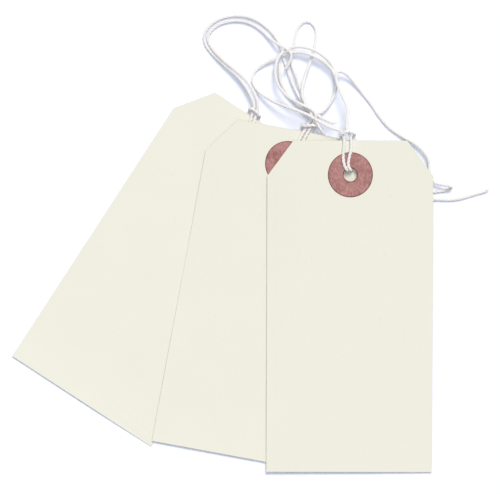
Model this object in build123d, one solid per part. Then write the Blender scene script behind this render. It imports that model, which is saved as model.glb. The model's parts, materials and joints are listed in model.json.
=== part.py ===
from build123d import *

import os
from math import asin, cos, degrees, radians, sin, tan

# A fan of three strung manila tags, as they lie on a table. Millimetres, +Z up, table at Z = 0,
# origin on the table under the middle of the fan. Each tag is a card with a paper patch on both
# faces of its punched hole, and a twine that is folded in two and hitched through that hole.

# Card
card_length = 120.65
card_width = 60.3
card_thickness = 0.33
corner_cut_across = 9.5
corner_cut_along = 13.0
hole_diameter = 5.0
hole_to_top_edge = 12.4

# Reinforcing patches, one on each face of the card
patch_diameter = 16.3
patch_thickness = 0.25

# Twine, drawn as a five-sided cord
string_diameter = 1.1
string_sides = 5
string_clearance = 0.09       # twine to the paper that it lies along
fillet_share = 0.45           # of the shorter run, taken up by the bend at a point of a route

# Hitch: two strands run from the hole over the top edge, under the bar of their own bight
leg_gap = 0.32                # between a strand and the leg of the bight beside it
bar_gap = 0.45                # between the strands and the bar that crosses over them
exit_rise = 0.3               # how far the strands lift between the bar and the free twine
string_lead = 1.5             # straight start of the free twine, in line with the hitch
rim_clearance = 0.05          # end of the bend in the hole to the hole's rim
edge_clearance = 0.3          # bight to the card's top edge at the end of its swing

# How the tags lie: the hole's place, the card's turn and its hitch's turn, clockwise from +Y in degrees,
# the card's swing in its hitch from there, anticlockwise in degrees, the sideways lean in degrees,
# and where the hitch's left and right strand lie across it in the hole, half way and at the top edge
left_tag = {
    "hole": (7.8, 47.4), "turn": 33.1, "hitch_turn": 15.0, "swing": (-5, 12), "lean": 0.0,
    "in_hole": (-0.7, 0.7), "half_way": (-0.8, 0.8), "at_edge": (-0.7, 0.7),
}
middle_tag = {
    "hole": (23.65, 43.25), "turn": 10.5, "hitch_turn": 30.0, "swing": (-6, 10), "lean": 0.1,
    "in_hole": (-0.7, 0.7), "half_way": (-0.8, 0.8), "at_edge": (-0.7, 0.7),
}
front_tag = {
    "hole": (46.4, 39.15), "turn": 0.2, "hitch_turn": -5.0, "swing": (-6, 15), "lean": 0.8,
    "in_hole": (-1.0, 0.45), "half_way": (-1.8, 0.6), "at_edge": (-1.0, 1.3),
}

# Slack between a card and the one under it, at its hole and at its foot
left_foot_lift = 0.03
middle_hole_slack, middle_foot_slack = 0.67, 0.29
front_hole_slack, front_foot_slack = 0.35, 0.15

# Routes of the free twine after its straight start, from the hitch to the cut end
left_outer_route = [
    (10.4, 67.6, 3.5), (8.4, 71.4, 3.2), (4.9, 75.6, 2.6), (0.3, 79.4, 1.7), (-3.7, 83.2, 0.95),
    (-6.4, 86.6, 0.7), (-6.9, 90.0, 0.7), (-5.0, 93.4, 1.1), (-1.0, 96.2, 2.0), (4.9, 97.4, 2.9),
    (10.8, 96.4, 3.2), (15.4, 93.6, 2.9), (19.1, 89.9, 2.2), (21.6, 85.9, 1.4), (23.4, 80.8, 1.2),
    (25.6, 74.3, 1.5), (27.8, 68.1, 2.4), (30.9, 62.9, 3.5), (35.0, 59.0, 4.8), (38.3, 55.4, 5.5),
    (39.9, 50.9, 5.6), (38.8, 46.2, 5.45),
]
left_inner_route = [
    (12.0, 68.2, 3.9), (9.7, 72.3, 4.0), (5.9, 76.3, 3.7), (1.1, 80.1, 2.95), (-2.9, 83.9, 2.2),
    (-5.2, 87.3, 1.5), (-5.3, 90.0, 1.2), (-3.5, 92.5, 1.4), (-0.2, 94.5, 1.9), (4.6, 95.5, 2.5),
    (9.6, 94.7, 2.8), (13.8, 92.2, 3.1), (17.2, 88.9, 3.9), (20.0, 86.6, 4.8), (22.8, 85.3, 5.4),
    (25.1, 83.4, 5.3), (24.7, 80.4, 4.6), (22.9, 77.7, 3.9),
]
middle_loop_route = [
    (32.4, 61.3, 5.9), (31.2, 63.5, 5.6), (30.1, 66.0, 5.5), (29.8, 68.8, 5.3), (30.2, 71.8, 4.65),
    (31.1, 75.7, 3.2), (32.6, 80.1, 1.9), (33.8, 84.5, 1.2), (34.5, 88.6, 0.9), (34.2, 92.2, 0.7),
    (32.4, 94.7, 0.65), (30.0, 95.2, 0.65), (27.8, 93.4, 0.65), (26.6, 90.2, 0.65), (26.0, 86.4, 0.7),
    (25.2, 82.3, 1.0), (26.0, 78.7, 1.7), (27.4, 75.4, 2.5), (28.3, 71.8, 3.15), (29.2, 67.8, 3.73),
    (31.8, 64.3, 4.3), (35.2, 61.0, 5.0), (38.2, 58.1, 5.4), (41.2, 55.9, 5.7),
]
middle_ring_route = [
    (34.0, 60.9, 6.6), (32.9, 63.1, 7.0), (29.4, 65.2, 7.1), (25.2, 67.8, 6.3), (21.5, 71.6, 5.2),
    (19.3, 76.1, 4.4), (19.8, 81.2, 4.0), (22.5, 84.6, 3.9), (26.3, 85.7, 3.9), (30.7, 85.4, 3.6),
    (34.7, 83.7, 3.1), (38.3, 81.0, 2.5), (41.1, 77.2, 2.2), (41.6, 72.5, 2.2), (40.1, 67.8, 2.3),
    (37.2, 63.6, 2.4), (33.2, 61.6, 2.1), (29.4, 64.2, 1.8), (25.4, 67.8, 1.7), (22.6, 71.6, 1.9),
    (21.4, 75.6, 2.1), (21.4, 79.2, 2.3),
]
front_ring_route = [
    (42.5, 57.5, 8.8), (39.9, 58.4, 8.9), (36.2, 59.8, 8.8), (32.3, 61.5, 8.6), (28.4, 63.3, 8.4),
    (24.2, 65.0, 7.2), (19.5, 66.6, 5.1), (15.2, 68.6, 3.0), (12.2, 71.0, 1.5), (10.6, 73.7, 0.8),
    (11.5, 76.7, 0.7), (14.3, 79.0, 1.1), (18.0, 80.8, 2.1), (21.6, 82.8, 2.7), (26.0, 83.9, 2.8),
    (30.3, 83.6, 2.9), (34.0, 81.9, 3.1), (37.3, 79.9, 3.3), (40.0, 77.2, 3.5),
    (41.3, 74.0, 3.6), (41.2, 70.6, 3.7),
]
front_tail_route = [
    (45.7, 59.4, 8.6), (45.7, 62.2, 8.0), (44.9, 64.9, 7.2), (43.2, 68.2, 6.3), (41.7, 71.6, 5.5),
    (41.1, 74.9, 5.1), (42.2, 77.0, 4.5), (45.0, 75.9, 3.1), (47.7, 73.0, 1.8), (51.0, 68.9, 0.9),
    (54.3, 64.7, 0.7), (57.0, 60.4, 0.65), (60.5, 56.3, 0.8), (65.2, 53.2, 1.4), (69.7, 50.8, 2.2),
    (73.4, 47.6, 2.8), (75.4, 43.8, 2.8), (75.1, 40.0, 2.4), (75.8, 37.2, 2.0), (77.9, 35.9, 1.7),
    (79.9, 35.4, 1.5), (81.9, 35.0, 1.4), (83.2, 34.3, 1.3), (83.2, 32.9, 1.25), (81.9, 32.3, 1.2),
    (79.4, 32.6, 1.2), (76.7, 32.9, 1.2), (74.3, 32.2, 1.2), (74.2, 30.4, 1.2), (76.4, 29.9, 1.2),
    (79.8, 29.7, 1.2), (83.6, 29.6, 1.1), (88.0, 30.4, 1.0), (92.3, 31.9, 0.8), (96.1, 33.1, 0.65),
]

# Levels of the twine along the card, from the card's lower face
string_radius = string_diameter / 2
hole_radius = hole_diameter / 2
twine_room = patch_thickness + string_clearance + string_diameter
front_level = card_thickness + twine_room - string_radius
back_level = string_radius - twine_room
bar_level = front_level + string_diameter + bar_gap

# Heights of each card's lower face above the table, at its hole and at its foot
left_tag["hole_height"] = twine_room
left_tag["foot_height"] = left_foot_lift
middle_tag["hole_height"] = left_tag["hole_height"] + card_thickness + twine_room + middle_hole_slack
middle_tag["foot_height"] = left_tag["foot_height"] + card_thickness + middle_foot_slack
front_tag["hole_height"] = middle_tag["hole_height"] + card_thickness + twine_room + front_hole_slack
front_tag["foot_height"] = middle_tag["foot_height"] + card_thickness + front_foot_slack


# Frame of a tag: hole centre on the card's lower face, Y along the tag, Z out of its front
def tag_frame(tag):
    hole_to_foot = card_length - hole_to_top_edge
    pitch = degrees(asin((tag["hole_height"] - tag["foot_height"]) / hole_to_foot))
    place = Pos(*tag["hole"], tag["hole_height"])
    return place * Rot(Z=-tag["turn"]) * Rot(X=pitch) * Rot(Y=tag["lean"])


# Frame of a tag's hitch: the same plane, turned to the way that the twine pulls
def hitch_frame(tag):
    return tag_frame(tag) * Rot(Z=tag["turn"] - tag["hitch_turn"])


def make_card():
    half_width = card_width / 2
    foot = hole_to_top_edge - card_length
    shoulder = hole_to_top_edge - corner_cut_along
    half_top = half_width - corner_cut_across
    corners = [
        (-half_width, foot), (half_width, foot), (half_width, shoulder),
        (half_top, hole_to_top_edge), (-half_top, hole_to_top_edge), (-half_width, shoulder),
    ]
    sheet = make_face(Polyline(*corners, close=True)) - Circle(hole_radius)
    return extrude(sheet, card_thickness)


def make_patch(level):
    ring = Circle(patch_diameter / 2) - Circle(hole_radius)
    return extrude(Pos(0, 0, level) * ring, patch_thickness)


# Bend at each inner point of a route, as wide as its shorter run allows
def bend_radii(points):
    radii = []
    for before, here, after in zip(points, points[1:], points[2:]):
        turn = (here - before).get_angle(after - here)
        shorter_run = min((here - before).length, (after - here).length)
        radii.append(fillet_share * shorter_run / tan(radians(turn) / 2))
    return radii


def make_cord(name, points):
    radii = bend_radii(points)
    path = FilletPolyline(*points, radius=radii)
    section = Plane(path @ 0, z_dir=path % 0) * RegularPolygon(string_radius, string_sides)
    cord = sweep(section, path=path)
    expected = section.area * path.length
    print(f"{name}: length {path.length:.1f}, volume {cord.volume:.2f} of {expected:.2f},",
          f"tightest bends {[round(r, 2) for r in sorted(radii)[:4]]}")
    return cord, path


# How far along a hitch its bight must reach at a place across it, to clear the top edge of the swinging card
def edge_reach(tag, across):
    slants = [radians(tag["turn"] - tag["hitch_turn"] - swing) for swing in tag["swing"]]
    edge = max((hole_to_top_edge - across * sin(slant)) / cos(slant) for slant in slants)
    return edge + string_radius + edge_clearance


# Points of a hitch in its own frame, from one strand's exit round the card to the other's
def hitch_points(tag):
    hole_bend = fillet_share * (front_level - back_level)
    strand_in_hole = hole_radius - hole_bend - rim_clearance
    legs = [across + side * (string_diameter + leg_gap) for side, across in zip((-1, 1), tag["at_edge"])]
    reaches = [edge_reach(tag, across) for across in legs]
    mid_reach = sum(reaches) / 2
    mid_neck = (strand_in_hole + mid_reach) / 2
    halves = []
    for side in (0, 1):
        in_hole, half_way, at_edge = tag["in_hole"][side], tag["half_way"][side], tag["at_edge"][side]
        leg, reach = legs[side], reaches[side]
        inward = (at_edge - leg) / abs(at_edge - leg) * string_diameter
        halves.append([
            Vector(at_edge, mid_reach + 1.7 * string_diameter, front_level + exit_rise),
            Vector(at_edge, mid_reach - 0.3 * string_diameter, front_level),
            Vector(half_way, mid_neck, front_level),
            Vector(in_hole, strand_in_hole, front_level),
            Vector(in_hole, strand_in_hole, back_level),
            Vector((in_hole + leg) / 2, mid_neck, back_level),
            Vector(leg + 0.5 * inward, reach - 0.6 * string_diameter, back_level),
            Vector(leg, reach + 0.55 * string_diameter, back_level + 1.25 * string_diameter),
            Vector(leg, reach + 0.75 * string_diameter, bar_level - 0.75 * string_diameter),
            Vector(leg + inward, (reach + mid_reach) / 2 + 0.8 * string_diameter, bar_level),
        ])
    return halves[0] + halves[1][::-1]


# Least clear distance of a cord to itself, over stretches further apart than one small loop
def least_self_gap(path):
    step = string_radius
    count = int(path.length / step)
    loop = int(6 * string_diameter / step)
    points = [path @ (index / count) for index in range(count + 1)]
    gaps = [(a - b).length for i, a in enumerate(points) for b in points[i + loop:]]
    return min(gaps) - string_diameter


nodes = {}
tags = {"left": left_tag, "middle": middle_tag, "front": front_tag}

for name, tag in tags.items():
    frame = tag_frame(tag)
    nodes[f"{name}_card"] = frame * make_card()
    nodes[f"{name}_front_patch"] = frame * make_patch(card_thickness)
    nodes[f"{name}_back_patch"] = frame * make_patch(-patch_thickness)
    turned = hitch_frame(tag)
    tag["hitch"] = [(turned * Pos(point)).position for point in hitch_points(tag)]
    nodes[f"{name}_hitch"], _ = make_cord(f"{name}_hitch", tag["hitch"])


# A free strand starts in line with the end of its hitch
def strand_points(hitch, route):
    lead = (hitch[0] - hitch[1]).normalized() * string_lead
    return [hitch[0], hitch[0] + lead] + [Vector(point) for point in route]


strands = {
    "left_outer_strand": (left_tag["hitch"], left_outer_route),
    "left_inner_strand": (left_tag["hitch"][::-1], left_inner_route),
    "middle_loop_strand": (middle_tag["hitch"], middle_loop_route),
    "middle_ring_strand": (middle_tag["hitch"][::-1], middle_ring_route),
    "front_ring_strand": (front_tag["hitch"], front_ring_route),
    "front_tail_strand": (front_tag["hitch"][::-1], front_tail_route),
}
for name, (hitch, route) in strands.items():
    nodes[name], strand_path = make_cord(name, strand_points(hitch, route))
    print(f"{name}: least gap to itself {least_self_gap(strand_path):.2f}")

os.makedirs("parts", exist_ok=True)
for name, solid in nodes.items():
    solid.label = name
    export_step(solid, f"parts/{name}.step")
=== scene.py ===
import json
import math
import random

import bmesh
import bpy
from mathutils import Matrix, Vector


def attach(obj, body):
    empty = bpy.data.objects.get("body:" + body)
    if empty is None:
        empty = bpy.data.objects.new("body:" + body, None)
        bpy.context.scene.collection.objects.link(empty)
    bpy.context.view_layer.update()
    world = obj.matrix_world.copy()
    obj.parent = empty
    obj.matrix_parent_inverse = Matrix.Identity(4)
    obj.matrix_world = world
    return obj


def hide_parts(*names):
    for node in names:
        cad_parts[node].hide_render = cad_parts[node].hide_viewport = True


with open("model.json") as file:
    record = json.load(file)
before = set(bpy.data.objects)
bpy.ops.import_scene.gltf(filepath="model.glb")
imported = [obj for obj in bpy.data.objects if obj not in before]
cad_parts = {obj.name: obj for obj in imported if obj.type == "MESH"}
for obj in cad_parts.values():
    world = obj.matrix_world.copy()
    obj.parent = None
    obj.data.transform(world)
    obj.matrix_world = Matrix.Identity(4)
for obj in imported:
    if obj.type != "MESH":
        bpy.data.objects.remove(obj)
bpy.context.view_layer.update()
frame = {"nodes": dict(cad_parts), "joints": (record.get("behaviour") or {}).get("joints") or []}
scene = bpy.context.scene
mm = 0.001
print("frame loaded,", len(frame["nodes"]), "nodes")


# Camera: straight above the fan, long lens, millimetres
camera = {
    "above": (9.99, 12.9, 4.0), "distance": 1500.0, "frameWidth": 181.65, "sensor": 36.0, "farthest": 20000.0,
}


def addCamera():
    data = bpy.data.cameras.new("overhead")
    data.sensor_fit = "HORIZONTAL"
    data.sensor_width = camera["sensor"]
    data.lens = camera["distance"] * camera["sensor"] / camera["frameWidth"]
    data.clip_end = camera["farthest"] * mm
    holder = bpy.data.objects.new("overhead", data)
    holder.location = (Vector(camera["above"]) + Vector((0, 0, camera["distance"]))) * mm
    scene.collection.objects.link(holder)
    scene.camera = holder


addCamera()
print("camera set,", round(scene.camera.data.lens), "mm lens")


# Sockets of a Mix node by number, because their names repeat
mixSocket = {"share": 0, "first": 6, "second": 7, "result": 2}


# A node's output, with maths on it
class Wire:
    def __init__(self, tree, socket=None):
        self.tree = tree
        self.socket = socket

    def node(self, kind, settings=None, links=None, output=0):
        made = self.tree.nodes.new("ShaderNode" + kind)
        for name, value in (settings or {}).items():
            if name == "stops":
                self.setStops(made.color_ramp, value)
            else:
                setattr(made, name, value)
        for name, value in (links or {}).items():
            if isinstance(value, Wire):
                self.tree.links.new(value.socket, made.inputs[name])
            else:
                made.inputs[name].default_value = value
        return Wire(self.tree, made.outputs[output])

    def setStops(self, ramp, stops):
        for element in list(ramp.elements)[1:]:
            ramp.elements.remove(element)
        for number, (place, shade) in enumerate(stops):
            element = ramp.elements[0] if number == 0 else ramp.elements.new(place)
            element.position = place
            element.color = (shade, shade, shade, 1)

    def maths(self, operation, first, second):
        return self.node("Math", {"operation": operation}, {0: first, 1: second})

    def mixed(self, share, first, second):
        values = {mixSocket["share"]: share, mixSocket["first"]: first, mixSocket["second"]: second}
        return self.node("Mix", {"data_type": "RGBA"}, values, mixSocket["result"])

    def __add__(self, other):
        return self.maths("ADD", self, other)

    def __radd__(self, other):
        return self.maths("ADD", other, self)

    def __sub__(self, other):
        return self.maths("SUBTRACT", self, other)

    def __rsub__(self, other):
        return self.maths("SUBTRACT", other, self)

    def __mul__(self, other):
        return self.maths("MULTIPLY", self, other)

    def __rmul__(self, other):
        return self.maths("MULTIPLY", other, self)


def newFinish(name, shine):
    material = bpy.data.materials.new(name)
    material.use_nodes = True
    tree = material.node_tree
    shader = tree.nodes["Principled BSDF"]
    shader.inputs["Specular IOR Level"].default_value = shine
    return material, Wire(tree), shader


def plug(wire, shader, socket):
    wire.tree.links.new(wire.socket, shader.inputs[socket])


# Manila card: felted fibres along the sheet, faint clouding, a few small flecks
manila = {
    "sheet": (0.690, 0.683, 0.594, 1), "pale": (0.722, 0.717, 0.634, 1), "fleck": (0.56, 0.49, 0.37, 1),
    "drawnOut": (1.0, 0.22, 1.0),
    "fibres": {"Scale": 900.0, "Detail": 4.0, "Roughness": 0.65},
    "clouds": {"Scale": 55.0, "Detail": 3.0},
    "specks": {"Scale": 1500.0, "Detail": 2.0},
    "fleckStops": [(0.70, 0.0), (0.76, 1.0)], "fleckShare": 0.22,
    "paleByFibre": 0.55, "paleByCloud": 0.6, "paleStart": 0.1,
    "roughness": 0.64, "roughByFibre": 0.16, "shine": 0.25,
    "tooth": {"Strength": 0.16, "Distance": 0.00006},
}


def manilaFinish(name, turn):
    material, base, shader = newFinish(name, manila["shine"])
    place = base.node("TexCoord", output="Object")
    alongSheet = base.node("Mapping", None, {"Vector": place, "Rotation": (0, 0, math.radians(turn))})
    drawnOut = base.node("Mapping", None, {"Vector": alongSheet, "Scale": manila["drawnOut"]})
    fibres = base.node("TexNoise", None, {"Vector": drawnOut, **manila["fibres"]})
    clouds = base.node("TexNoise", None, {"Vector": alongSheet, **manila["clouds"]})
    specks = base.node("TexNoise", None, {"Vector": drawnOut, **manila["specks"]})
    flecks = base.node("ValToRGB", {"stops": manila["fleckStops"]}, {0: specks})
    paleness = fibres * manila["paleByFibre"] + clouds * manila["paleByCloud"] - manila["paleStart"]
    sheet = base.mixed(paleness, manila["sheet"], manila["pale"])
    plug(base.mixed(flecks * manila["fleckShare"], sheet, manila["fleck"]), shader, "Base Color")
    plug(fibres * manila["roughByFibre"] + manila["roughness"], shader, "Roughness")
    plug(base.node("Bump", None, {"Height": fibres, **manila["tooth"]}), shader, "Normal")
    return material


# Cut edge of the card: warmer, with the layers of the sheet showing
cutEdge = {
    "warm": (0.60, 0.51, 0.41, 1), "layers": {"Scale": 2600.0, "Detail": 3.0},
    "roughness": 0.7, "roughByLayer": 0.2, "shine": 0.2,
    "tooth": {"Strength": 0.3, "Distance": 0.00005},
}


def cutEdgeFinish():
    material, base, shader = newFinish("cut_edge", cutEdge["shine"])
    place = base.node("TexCoord", output="Object")
    layers = base.node("TexNoise", None, {"Vector": place, **cutEdge["layers"]})
    plug(base.mixed(layers, cutEdge["warm"], manila["sheet"]), shader, "Base Color")
    plug(layers * cutEdge["roughByLayer"] + cutEdge["roughness"], shader, "Roughness")
    plug(base.node("Bump", None, {"Height": layers, **cutEdge["tooth"]}), shader, "Normal")
    return material


# Patch: pressed red-brown fibre paper, darker in narrow bands along its hole's rim and outer rim, side walls
# included
fibrePatch = {
    "dark": (0.245, 0.100, 0.093, 1), "light": (0.450, 0.232, 0.222, 1), "hair": (0.52, 0.32, 0.29, 1),
    "rimDark": (0.105, 0.034, 0.030, 1), "rimLight": (0.230, 0.088, 0.080, 1),
    "drawnOut": (1.0, 0.55, 1.0),
    "mottle": {"Scale": 1500.0, "Detail": 5.0, "Roughness": 0.6},
    "bends": {"Scale": 620.0, "Detail": 1.0, "Distortion": 1.6},
    "clouds": {"Scale": 190.0, "Detail": 1.0},
    "hairStops": [(0.47, 0.0), (0.50, 1.0), (0.53, 0.0)], "hairShare": 0.2, "hairHeight": 0.4,
    "lightByMottle": 2.5, "lightByCloud": 1.3, "lightStart": 1.37,
    "roughness": 0.68, "roughByMottle": 0.2, "shine": 0.25,
    "tooth": {"Strength": 0.3, "Distance": 0.00008},
}


def patchFinish(name, dark, light):
    material, base, shader = newFinish(name, fibrePatch["shine"])
    place = base.node("TexCoord", output="Object")
    drawnOut = base.node("Mapping", None, {"Vector": place, "Scale": fibrePatch["drawnOut"]})
    mottle = base.node("TexNoise", None, {"Vector": drawnOut, **fibrePatch["mottle"]})
    bends = base.node("TexNoise", None, {"Vector": drawnOut, **fibrePatch["bends"]})
    hairs = base.node("ValToRGB", {"stops": fibrePatch["hairStops"]}, {0: bends})
    clouds = base.node("TexNoise", None, {"Vector": place, **fibrePatch["clouds"]})
    lightness = mottle * fibrePatch["lightByMottle"] + clouds * fibrePatch["lightByCloud"]
    ground = base.mixed(lightness - fibrePatch["lightStart"], dark, light)
    plug(base.mixed(hairs * fibrePatch["hairShare"], ground, fibrePatch["hair"]), shader, "Base Color")
    plug(mottle * fibrePatch["roughByMottle"] + fibrePatch["roughness"], shader, "Roughness")
    felt = mottle + hairs * fibrePatch["hairHeight"]
    plug(base.node("Bump", None, {"Height": felt, **fibrePatch["tooth"]}), shader, "Normal")
    return material


# Twine: soft undyed cotton, fibres running aslant along each ply
cotton = {
    "shade": (0.61, 0.59, 0.575, 1), "bright": (0.96, 0.945, 0.93, 1),
    "around": 9.0, "along": 170.0, "slant": 14.0,
    "streaks": {"Scale": 1.0, "Detail": 4.0, "Roughness": 0.7},
    "clouds": {"Scale": 160.0, "Detail": 2.0},
    "brightByStreak": 1.3, "brightByCloud": 0.5, "brightStart": 0.4,
    "roughness": 0.78, "roughByStreak": 0.15, "shine": 0.2, "sheen": 0.25,
    "tooth": {"Strength": 0.5, "Distance": 0.00006},
}


def cottonFinish():
    material, base, shader = newFinish("cotton_plies", cotton["shine"])
    shader.inputs["Sheen Weight"].default_value = cotton["sheen"]
    onPly = base.node("UVMap", {"uv_map": "UVMap"})
    around = base.node("SeparateXYZ", None, {"Vector": onPly}, "X")
    along = base.node("SeparateXYZ", None, {"Vector": onPly}, "Y")
    aslant = around * cotton["around"] + along * cotton["slant"]
    spun = base.node("CombineXYZ", None, {"X": aslant, "Y": along * cotton["along"]})
    streaks = base.node("TexNoise", None, {"Vector": spun, **cotton["streaks"]})
    place = base.node("TexCoord", output="Object")
    clouds = base.node("TexNoise", None, {"Vector": place, **cotton["clouds"]})
    brightness = streaks * cotton["brightByStreak"] + clouds * cotton["brightByCloud"] - cotton["brightStart"]
    plug(base.mixed(brightness, cotton["shade"], cotton["bright"]), shader, "Base Color")
    plug(streaks * cotton["roughByStreak"] + cotton["roughness"], shader, "Roughness")
    plug(base.node("Bump", None, {"Height": streaks, **cotton["tooth"]}), shader, "Normal")
    return material


patchPaper = patchFinish("pressed_fibre", fibrePatch["dark"], fibrePatch["light"])
patchRim = patchFinish("rim_fibre", fibrePatch["rimDark"], fibrePatch["rimLight"])
cardEdge = cutEdgeFinish()
cottonPlies = cottonFinish()
print("finishes made")


# Tags: turn is clockwise from +Y in degrees, faceUp is how upright a normal on the flat of the sheet is,
# the rest is in millimetres
tag = {
    "length": 120.65, "width": 60.3, "thickness": 0.33, "cutAcross": 9.5, "cutAlong": 13.0,
    "hole": 2.5, "holeToTop": 12.4, "edgeRound": 0.07, "holeSteps": 64, "faceUp": 0.95,
    "turns": {"left": 33.1, "middle": 10.5, "front": 0.2},
}
patch = {"radius": 8.15, "thickness": 0.25, "edgeRound": 0.06, "steps": 96, "rim": 0.30}
rounding = {"sharpAngle": 50.0, "segments": 2, "profile": 0.5}
joints = {joint["child"]: joint for joint in frame["joints"]}
halfWidth = tag["width"] / 2
foot = tag["holeToTop"] - tag["length"]

# Bend of the cards: the foot lifts, less towards the right side, and the left side settles on the card below;
# each settle is a depth and the two shares of the card's length, from the foot, where it starts and is full
bend = {
    "lift": {"left": 0.60, "middle": 0.36, "front": 0.10},
    "liftLength": 18.0, "liftFade": 24.0, "liftCuts": 6,
    "settle": {"left": (0.0, 0.0, 1.0), "middle": (1.35, 0.15, 0.60), "front": (1.35, -0.06, 0.75)},
    "settleWidth": 20.0, "settleHeight": 0.75, "cutsAcross": 5, "cutsAlong": 8,
}


# Place of a tag: hole centre on the card's lower face, Y along the tag, Z out of its front
def tagPlace(name):
    joint = joints[name + "_tag"]
    turn = math.radians(tag["turns"][name])
    out = Vector(joint["axis"]).normalized()
    along = out.cross(Vector((math.cos(turn), -math.sin(turn), 0))).normalized()
    across = along.cross(out)
    place = Matrix((across, along, out)).transposed().to_4x4()
    return Matrix.Translation(Vector(joint["pos_m"])) @ place @ Matrix.Scale(mm, 4)


def closedLoop(shape, places):
    points = [shape.verts.new(place) for place in places]
    for here, after in zip(points, points[1:] + points[:1]):
        shape.edges.new((here, after))


def roundOff(shape, width):
    limit = math.radians(rounding["sharpAngle"])
    sharp = [edge for edge in shape.edges if edge.is_manifold and edge.calc_face_angle() > limit]
    bmesh.ops.bevel(shape, geom=sharp, offset=width, offset_type="OFFSET", segments=rounding["segments"],
                    profile=rounding["profile"], affect="EDGES", material=-1)


def placed(name, data):
    piece = bpy.data.objects.new(name, data)
    scene.collection.objects.link(piece)
    return piece


def newPiece(name, shape, place, finishes):
    bmesh.ops.transform(shape, matrix=place, verts=shape.verts)
    bmesh.ops.recalc_face_normals(shape, faces=shape.faces)
    mesh = bpy.data.meshes.new(name)
    shape.to_mesh(mesh)
    shape.free()
    for finish in finishes:
        mesh.materials.append(finish)
    return placed(name, mesh)


# Cuts the flat sheet at equal steps, so that it can bend there
def cutInSteps(shape, way, start, end, count):
    for number in range(count):
        place = way * (start + (end - start) * (number + 1) / count)
        everything = shape.verts[:] + shape.edges[:] + shape.faces[:]
        bmesh.ops.bisect_plane(shape, geom=everything, plane_co=place, plane_no=way)


def cutForBend(shape):
    across, along = Vector((1, 0, 0)), Vector((0, 1, 0))
    liftEnd = foot + bend["liftLength"]
    fadeStart = halfWidth - bend["liftFade"]
    cutInSteps(shape, along, foot, liftEnd, bend["liftCuts"])
    cutInSteps(shape, across, fadeStart, fadeStart, 1)
    cutInSteps(shape, across, -halfWidth, bend["settleWidth"] - halfWidth, bend["cutsAcross"])
    cutInSteps(shape, along, liftEnd, foot + bend["settleHeight"] * tag["length"], bend["cutsAlong"])


# How far the left side of a card has settled, at a share of its length from the foot
def settled(name, share):
    depth, start, end = bend["settle"][name]
    part = min(1.0, max(0.0, (share - start) / (end - start)))
    return depth * part * part * (3 - 2 * part)


def bendCard(shape, name):
    for vertex in shape.verts:
        x, y = vertex.co.x, vertex.co.y
        lift = max(0.0, 1 - (y - foot) / bend["liftLength"])
        fade = min(1.0, (halfWidth - x) / bend["liftFade"])
        side = max(0.0, 1 - (x + halfWidth) / bend["settleWidth"])
        vertex.co.z += bend["lift"][name] * lift * lift * fade
        vertex.co.z -= side * side * settled(name, (y - foot) / tag["length"])
    shape.normal_update()


def makeCard(name):
    halfTop = halfWidth - tag["cutAcross"]
    top = tag["holeToTop"]
    shoulder = top - tag["cutAlong"]
    shape = bmesh.new()
    bmesh.ops.create_circle(shape, cap_ends=False, segments=tag["holeSteps"], radius=tag["hole"])
    closedLoop(shape, [(-halfWidth, foot, 0), (halfWidth, foot, 0), (halfWidth, shoulder, 0),
                       (halfTop, top, 0), (-halfTop, top, 0), (-halfWidth, shoulder, 0)])
    bmesh.ops.triangle_fill(shape, use_beauty=True, use_dissolve=False, edges=shape.edges, normal=(0, 0, 1))
    cutForBend(shape)
    lifted = bmesh.ops.extrude_face_region(shape, geom=shape.faces)["geom"]
    lifted = [item for item in lifted if isinstance(item, bmesh.types.BMVert)]
    bmesh.ops.translate(shape, verts=lifted, vec=(0, 0, tag["thickness"]))
    bmesh.ops.recalc_face_normals(shape, faces=shape.faces)
    roundOff(shape, tag["edgeRound"])
    bendCard(shape, name)
    for face in shape.faces:
        face.material_index = 0 if abs(face.normal.z) > tag["faceUp"] else 1
    finish = manilaFinish(name + "_manila", tag["turns"][name])
    piece = newPiece(name + "_sheet", shape, tagPlace(name), [finish, cardEdge])
    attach(piece, name + "_tag")
    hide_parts(name + "_card")


def makePatch(name, side, low):
    shape = bmesh.new()
    high = low + patch["thickness"]
    inner, outer = tag["hole"], patch["radius"]
    innerRim, outerRim = inner + patch["rim"], outer - patch["rim"]
    below = [(away, 0, low) for away in (inner, innerRim, outerRim, outer)]
    above = [(away, 0, high) for away in (outer, outerRim, innerRim, inner)]
    closedLoop(shape, below + above)
    bmesh.ops.spin(shape, geom=shape.verts[:] + shape.edges[:], cent=(0, 0, 0), axis=(0, 0, 1),
                   dvec=(0, 0, 0), angle=2 * math.pi, steps=patch["steps"], use_merge=True)
    bmesh.ops.recalc_face_normals(shape, faces=shape.faces)
    roundOff(shape, patch["edgeRound"])
    for face in shape.faces:
        away = face.calc_center_median().to_2d().length
        face.material_index = 0 if innerRim < away < outerRim else 1
    piece = newPiece(name + "_" + side + "_disc", shape, tagPlace(name), [patchPaper, patchRim])
    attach(piece, name + "_tag")
    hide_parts(name + "_" + side + "_patch")


for tagName in tag["turns"]:
    makeCard(tagName)
    makePatch(tagName, "front", tag["thickness"])
    makePatch(tagName, "back", -patch["thickness"])
print("tags made")


# Twine: three plies laid round the route's line, millimetres
twine = {
    "diameter": 1.1, "plies": 3, "plyRadius": 0.305, "plySteps": 2, "layRadius": 0.285, "pitch": 4.4,
    "stepsPerPoint": 14, "order": 3, "unevenness": 0.07, "swells": (0.9, 0.37), "wobble": (0, 6), "seed": 11,
}
# Loose fibres of a cut end: radius is a share of a ply's, lengths are in millimetres
fray = {
    "fibres": 18, "length": (0.7, 1.6), "spread": 0.5, "lowest": -0.4, "rootSpread": 0.35, "rootBack": 0.3,
    "radius": 0.2, "taper": 0.6, "shares": (0.0, 0.3, 0.6, 0.85, 1.0),
}

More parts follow.
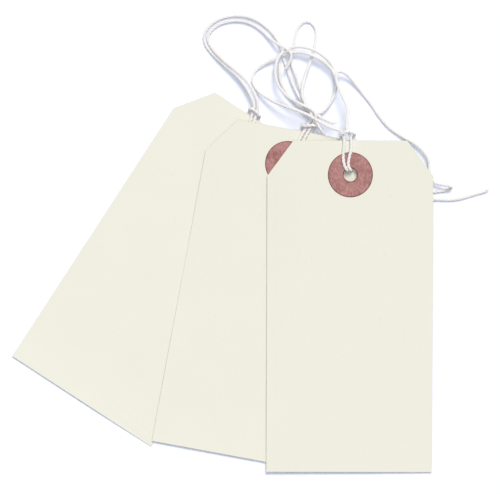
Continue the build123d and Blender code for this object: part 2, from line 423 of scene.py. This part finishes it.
# Hitches: turn is clockwise from +Y in degrees, reach is where the bight's legs pass the card's top edge,
# the rest is where the left and right leg and strand lie across the hitch
hitch = {
    "left": {
        "turn": 15.0, "reach": (15.24, 13.43), "legs": (-2.12, 2.12), "atEdge": (-0.70, 0.70),
        "upper": (-0.80, 0.72), "lower": (-0.90, 0.75), "overRim": (-0.75, 0.68), "inHole": (-0.65, 0.65),
        "exit": (-0.70, 0.70), "exitAlong": (1.87, 1.87), "arch": 1.25, "inset": 1.25, "bar": 2.80,
    },
    "middle": {
        "turn": 30.0, "reach": (13.90, 16.30), "legs": (-2.12, 2.12), "atEdge": (-0.70, 0.70),
        "upper": (-0.72, 0.76), "lower": (-0.75, 0.88), "overRim": (-0.68, 0.74), "inHole": (-0.65, 0.65),
        "exit": (-0.70, 0.70), "exitAlong": (1.87, 1.87), "arch": 0.85, "inset": 1.25, "bar": 2.80,
    },
    "front": {
        "turn": -5.0, "reach": (13.97, 13.90), "legs": (-2.42, 2.72), "atEdge": (-1.00, 1.40),
        "upper": (-1.70, 1.10), "lower": (-2.20, 0.05), "overRim": (-1.95, -0.70), "inHole": (-0.95, 0.30),
        "exit": (-1.75, 0.35), "exitAlong": (1.25, 1.87), "arch": 1.80, "inset": 1.55, "bar": 3.00,
    },
}
# What the hitches share: levels out of the card, places along the hitch, and how the legs round the top edge,
# as a distance past it and a level
lay = {
    "front": 1.22, "back": -0.89, "exitRise": 0.30, "beforeBar": 0.33, "upperShare": 0.67, "lowerShare": 0.45,
    "rim": 3.40, "hole": 1.50, "parting": 0.2, "backAlong": 0.75, "tuckAcross": 0.38, "tuckAlong": 0.57,
    "roundLow": (0.66, 0.44), "roundHigh": (0.60, 2.00),
}

# Routes of the free strands from their exits to their cut ends, millimetres
strands = {
    "left_outer_strand": [
        (11.31, 63.21, 3.16), (11.69, 64.65, 3.38),
        (10.4, 67.6, 3.5), (8.4, 71.4, 3.2), (4.9, 75.6, 2.6), (0.3, 79.4, 1.7), (-3.7, 83.2, 0.95),
        (-6.4, 86.6, 0.7), (-6.9, 90.0, 0.65), (-5.0, 93.4, 0.65), (-1.0, 96.2, 0.7), (4.9, 97.4, 0.9),
        (10.8, 96.4, 1.1), (15.4, 93.6, 1.1), (19.1, 89.9, 1.0), (21.2, 85.9, 1.0), (22.5, 80.8, 1.1),
        (24.6, 74.3, 1.5), (27.5, 68.1, 2.4), (30.6, 63.1, 3.5), (33.2, 59.5, 3.6), (35.2, 56.3, 3.2),
        (37.3, 53.0, 2.7), (38.6, 49.4, 1.6), (38.6, 45.8, 0.8),
    ],
    "left_inner_strand": [
        (12.66, 62.85, 3.16), (13.04, 64.28, 3.38),
        (12.0, 68.2, 3.9), (9.7, 72.3, 4.0), (5.9, 76.3, 3.7), (1.1, 80.1, 2.95), (-2.9, 83.9, 2.2),
        (-5.2, 87.3, 1.4), (-5.3, 90.0, 0.9), (-3.5, 92.5, 0.7), (-0.2, 94.5, 0.7), (4.6, 95.5, 0.9),
        (9.6, 94.7, 1.0), (13.8, 92.2, 1.1), (17.2, 88.9, 1.8), (20.0, 86.6, 3.6), (22.6, 85.3, 5.5),
        (25.1, 83.4, 5.3), (24.7, 80.4, 4.6), (22.9, 77.7, 3.9),
    ],
    "middle_loop_strand": [
        (31.52, 58.24, 5.87), (32.26, 59.52, 6.12),
        (32.4, 61.3, 5.9), (31.0, 63.5, 5.6), (29.5, 66.0, 5.5), (28.8, 68.8, 5.3), (29.1, 71.8, 4.65),
        (30.2, 75.7, 3.2), (31.9, 80.1, 1.9), (33.2, 84.5, 1.2), (34.2, 88.6, 0.9), (34.2, 92.2, 0.7),
        (32.4, 94.7, 0.65), (30.0, 95.2, 0.65), (27.8, 93.4, 0.65), (26.6, 90.2, 0.65), (26.0, 86.4, 0.7),
        (24.9, 82.3, 1.0), (25.3, 78.7, 1.7), (26.7, 75.4, 2.5), (27.9, 71.8, 3.15), (29.0, 67.8, 3.73),
        (31.4, 64.0, 4.3), (34.2, 60.9, 5.0), (37.2, 59.0, 5.5), (40.3, 57.8, 5.9),
    ],
    "middle_ring_strand": [
        (32.73, 57.54, 5.86), (33.48, 58.82, 6.10),
        (34.0, 60.9, 6.6), (32.6, 62.8, 7.0), (28.6, 64.6, 7.1), (23.6, 67.3, 6.3), (20.1, 71.4, 5.2),
        (18.9, 76.1, 4.4), (19.7, 81.2, 4.0), (22.5, 84.6, 3.9), (26.3, 85.7, 4.8), (30.7, 85.4, 5.7),
        (34.7, 83.7, 5.2), (38.3, 81.0, 3.6), (41.1, 77.2, 2.2), (41.6, 72.5, 2.2), (40.5, 67.6, 2.3),
        (37.7, 62.9, 2.4), (33.6, 60.6, 2.1), (29.0, 63.5, 1.8), (24.4, 67.4, 1.7), (21.6, 71.6, 1.9),
        (20.6, 75.6, 2.1), (20.9, 79.2, 2.3),
    ],
    "front_ring_strand": [
        (43.33, 54.13, 8.22), (42.79, 55.02, 8.48),
        (41.5, 55.4, 8.75), (39.2, 56.1, 8.9), (36.7, 57.3, 8.9), (34.1, 58.9, 8.75), (31.4, 60.6, 8.6),
        (28.4, 61.9, 8.4), (24.2, 63.4, 7.2), (19.5, 65.2, 5.1), (15.2, 67.6, 3.0), (12.1, 70.6, 1.5),
        (10.6, 73.7, 0.8), (11.5, 76.7, 0.7), (14.3, 79.0, 1.1), (18.0, 80.8, 2.1), (21.6, 82.8, 2.7),
        (26.0, 83.9, 3.3), (30.3, 83.6, 4.1), (34.0, 81.9, 4.3), (37.3, 79.9, 3.9), (40.0, 77.2, 3.5),
        (41.3, 74.0, 3.6), (41.2, 70.6, 3.7),
    ],
    "front_tail_strand": [
        (45.37, 54.92, 8.23), (44.85, 55.90, 8.45),
        (44.8, 57.5, 8.6), (45.2, 59.7, 8.5), (45.5, 62.2, 8.0), (44.9, 64.9, 7.2), (43.2, 68.2, 6.3),
        (41.7, 71.6, 5.5), (41.1, 74.9, 5.1), (42.2, 77.0, 4.5), (45.0, 75.9, 3.1), (47.7, 73.0, 1.8),
        (51.0, 68.9, 0.9), (54.3, 64.7, 0.7), (57.0, 60.4, 0.65), (60.5, 56.3, 0.8), (65.2, 53.2, 1.2),
        (69.7, 50.8, 1.8), (73.4, 47.6, 2.3), (75.4, 43.8, 2.4), (75.1, 40.0, 2.2), (75.8, 37.4, 2.3),
        (77.7, 36.1, 2.4), (79.6, 35.6, 2.7), (81.1, 35.3, 3.2), (82.5, 35.0, 3.3), (83.3, 34.6, 2.3),
        (82.8, 34.0, 1.1), (81.3, 33.5, 0.65), (79.2, 33.2, 0.65), (76.9, 32.9, 0.65), (74.8, 33.1, 0.65),
        (72.6, 33.0, 0.65), (71.3, 31.9, 0.65), (71.6, 30.5, 0.65), (73.4, 29.9, 0.65), (76.3, 30.2, 0.65),
        (79.7, 30.2, 0.65), (83.8, 30.0, 0.65), (88.0, 30.9, 0.65), (92.1, 32.2, 0.65), (95.8, 33.2, 0.65),
    ],
}
twineOf = {
    "left": ("left_outer_strand", "left_inner_strand"),
    "middle": ("middle_loop_strand", "middle_ring_strand"),
    "front": ("front_ring_strand", "front_tail_strand"),
}


def newCurve(name):
    data = bpy.data.curves.new(name, "CURVE")
    data.dimensions = "3D"
    return data


# Mesh that a curve gives, and the curve is gone
def meshOf(data):
    holder = placed(data.name, data)
    mesh = bpy.data.meshes.new_from_object(holder)
    bpy.data.objects.remove(holder)
    bpy.data.curves.remove(data)
    return mesh


# Points along the smooth line that a route gives, in metres
def routeLine(points):
    data = newCurve("route")
    data.resolution_u = twine["stepsPerPoint"]
    spline = data.splines.new("NURBS")
    spline.points.add(len(points) - 1)
    for place, point in zip(spline.points, points):
        place.co = (*point, 1.0)
    spline.order_u = twine["order"]
    spline.use_endpoint_u = True
    mesh = meshOf(data)
    line = [vertex.co.copy() for vertex in mesh.vertices]
    bpy.data.meshes.remove(mesh)
    return line


def strandLine(name):
    return routeLine([Vector(point) * mm for point in strands[name]])


# Half of a hitch from a strand's exit to the bar, in its own plane: across, along, out of the card
def halfHitch(name, side):
    shape = {key: value[side] if isinstance(value, tuple) else value for key, value in hitch[name].items()}
    reach, leg, inHole = shape["reach"], shape["legs"], shape["inHole"]
    middle = sum(hitch[name]["reach"]) / 2
    inward = math.copysign(1.0, -leg)
    front, back = lay["front"], lay["back"]
    lowPast, lowLevel = lay["roundLow"]
    highPast, highLevel = lay["roundHigh"]
    return [
        (shape["exit"], middle + shape["exitAlong"], front + lay["exitRise"]),
        (shape["atEdge"], middle - lay["beforeBar"], front),
        (shape["upper"], middle * lay["upperShare"], front),
        (shape["lower"], middle * lay["lowerShare"], front),
        (shape["overRim"], lay["rim"], front),
        (inHole, lay["hole"], front),
        (inHole, lay["hole"], back),
        (inHole + (leg - inHole) * lay["parting"], lay["rim"], back),
        ((inHole + leg) / 2, middle / 2 + lay["backAlong"], back),
        (leg + inward * lay["tuckAcross"], reach - lay["tuckAlong"], back),
        (leg, reach + lowPast, lowLevel),
        (leg, reach + highPast, highLevel),
        (leg + inward * shape["inset"], (reach + middle) / 2 + shape["arch"], shape["bar"]),
    ]


def hitchLine(name):
    turn = tag["turns"][name] - hitch[name]["turn"]
    place = tagPlace(name) @ Matrix.Rotation(math.radians(turn), 4, "Z")
    points = halfHitch(name, 0) + halfHitch(name, 1)[::-1]
    return routeLine([place @ Vector(point) for point in points])


# Direction and side of the line at each point, with no twist of its own
def carriedSides(line):
    ways = []
    for number in range(len(line)):
        ways.append((line[min(number + 1, len(line) - 1)] - line[max(number - 1, 0)]).normalized())
    side = ways[0].orthogonal().normalized()
    sides = [side]
    for before, here in zip(ways, ways[1:]):
        side = before.rotation_difference(here) @ side
        side = (side - here * side.dot(here)).normalized()
        sides.append(side)
    return ways, sides


# Points and radii of one ply, wound round the line
def woundPly(line, ways, sides, phase, wobble):
    short, long = twine["swells"]
    run = 0.0
    points = []
    radii = []
    for index, (here, way, side) in enumerate(zip(line, ways, sides)):
        if index:
            run += (here - line[index - 1]).length
        angle = phase + 2 * math.pi * run / (twine["pitch"] * mm)
        out = side * math.cos(angle) + way.cross(side) * math.sin(angle)
        swell = math.sin(run / mm * short + wobble) * math.sin(run / mm * long + 2 * wobble)
        points.append(here + out * twine["layRadius"] * mm)
        radii.append(1 + twine["unevenness"] * swell)
    return points, radii


def addPly(data, points, radii):
    spline = data.splines.new("POLY")
    spline.points.add(len(points) - 1)
    for place, point, radius in zip(spline.points, points, radii):
        place.co = (*point, 1.0)
        place.radius = radius


def addFray(data, end, way, draw):
    radii = [fray["radius"] * (1 - fray["taper"] * share) for share in fray["shares"]]
    for _ in range(fray["fibres"]):
        lean = Vector((draw.uniform(-1, 1), draw.uniform(-1, 1), draw.uniform(fray["lowest"], 1)))
        lean = lean * fray["spread"]
        reach = draw.uniform(*fray["length"]) * mm
        root = end + lean * fray["rootSpread"] * mm - way * fray["rootBack"] * mm
        points = [root + way * reach * share + lean * reach * share * share for share in fray["shares"]]
        addPly(data, points, radii)


def twineMesh(name, plies, cutEnd, draw):
    data = newCurve(name)
    data.bevel_depth = twine["plyRadius"] * mm
    data.bevel_resolution = twine["plySteps"]
    data.use_fill_caps = True
    for points, radii in plies:
        addPly(data, points, radii)
    if cutEnd:
        addFray(data, *cutEnd, draw)
    mesh = meshOf(data)
    mesh.name = name
    mesh.materials.append(cottonPlies)
    return mesh


# One length of twine: a free strand, the hitch and the other free strand
def makeTwine(name, draw):
    firstName, secondName = twineOf[name]
    first, knot, second = strandLine(firstName), hitchLine(name), strandLine(secondName)
    line = first[::-1] + knot[1:] + second[1:]
    ways, sides = carriedSides(line)
    breaks = [0, len(first) - 1, len(first) + len(knot) - 2, len(line) - 1]
    plies = []
    for number in range(twine["plies"]):
        phase = 2 * math.pi * number / twine["plies"]
        plies.append(woundPly(line, ways, sides, phase, draw.uniform(*twine["wobble"])))
    cutEnds = [(line[0], -ways[0]), None, (line[-1], ways[-1])]
    for part, stretch in enumerate([firstName, name + "_hitch", secondName]):
        low, high = breaks[part], breaks[part + 1] + 1
        cut = [(points[low:high], radii[low:high]) for points, radii in plies]
        piece = placed(stretch + "_twine", twineMesh(stretch + "_twine", cut, cutEnds[part], draw))
        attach(piece, "strings")
        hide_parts(stretch)
        if cutEnds[part]:
            path = line[low:high]
            if part == 0:
                path = path[::-1]
            length = sum((after - here).length for here, after in zip(path, path[1:]))
            print(stretch, "length", round(length, 4))


twineDraw = random.Random(twine["seed"])
for tagName in twineOf:
    makeTwine(tagName, twineDraw)
print("twine laid")


# Pale table, half its width in metres, and light: a soft warm key from the top of the frame and a little to
# the right, white light from overhead and a pale blue fill all round, with angles in degrees
table = {"half": 5.0, "colour": (0.825, 0.855, 0.965, 1), "roughness": 0.8, "shine": 0.1}
light = {
    "key": {"strength": 2.36, "colour": (1.0, 0.975, 0.93), "softness": 23.0, "tilt": 31.0, "turn": 165.0},
    "overhead": {"strength": 1.06, "colour": (1.0, 1.0, 1.0), "softness": 25.0, "tilt": 0.0, "turn": 180.0},
}
fill = {"strength": 0.295, "colour": (0.86, 0.91, 1.0, 1)}


def addTable():
    shape = bmesh.new()
    bmesh.ops.create_grid(shape, x_segments=1, y_segments=1, size=table["half"])
    material, _, shader = newFinish("table_white", table["shine"])
    shader.inputs["Base Color"].default_value = table["colour"]
    shader.inputs["Roughness"].default_value = table["roughness"]
    floor = newPiece("table", shape, Matrix.Identity(4), [material])


def addSun(name):
    shape = light[name]
    data = bpy.data.lights.new(name, "SUN")
    data.energy = shape["strength"]
    data.color = shape["colour"]
    data.angle = math.radians(shape["softness"])
    sun = bpy.data.objects.new(name, data)
    sun.rotation_euler = (math.radians(shape["tilt"]), 0, math.radians(shape["turn"]))
    scene.collection.objects.link(sun)


def addFill():
    world = bpy.data.worlds.new("fill")
    world.use_nodes = True
    background = world.node_tree.nodes["Background"]
    background.inputs["Color"].default_value = fill["colour"]
    background.inputs["Strength"].default_value = fill["strength"]
    scene.world = world
    scene.view_settings.view_transform = "Standard"


addTable()
for sunName in light:
    addSun(sunName)
addFill()
print("table and light set")
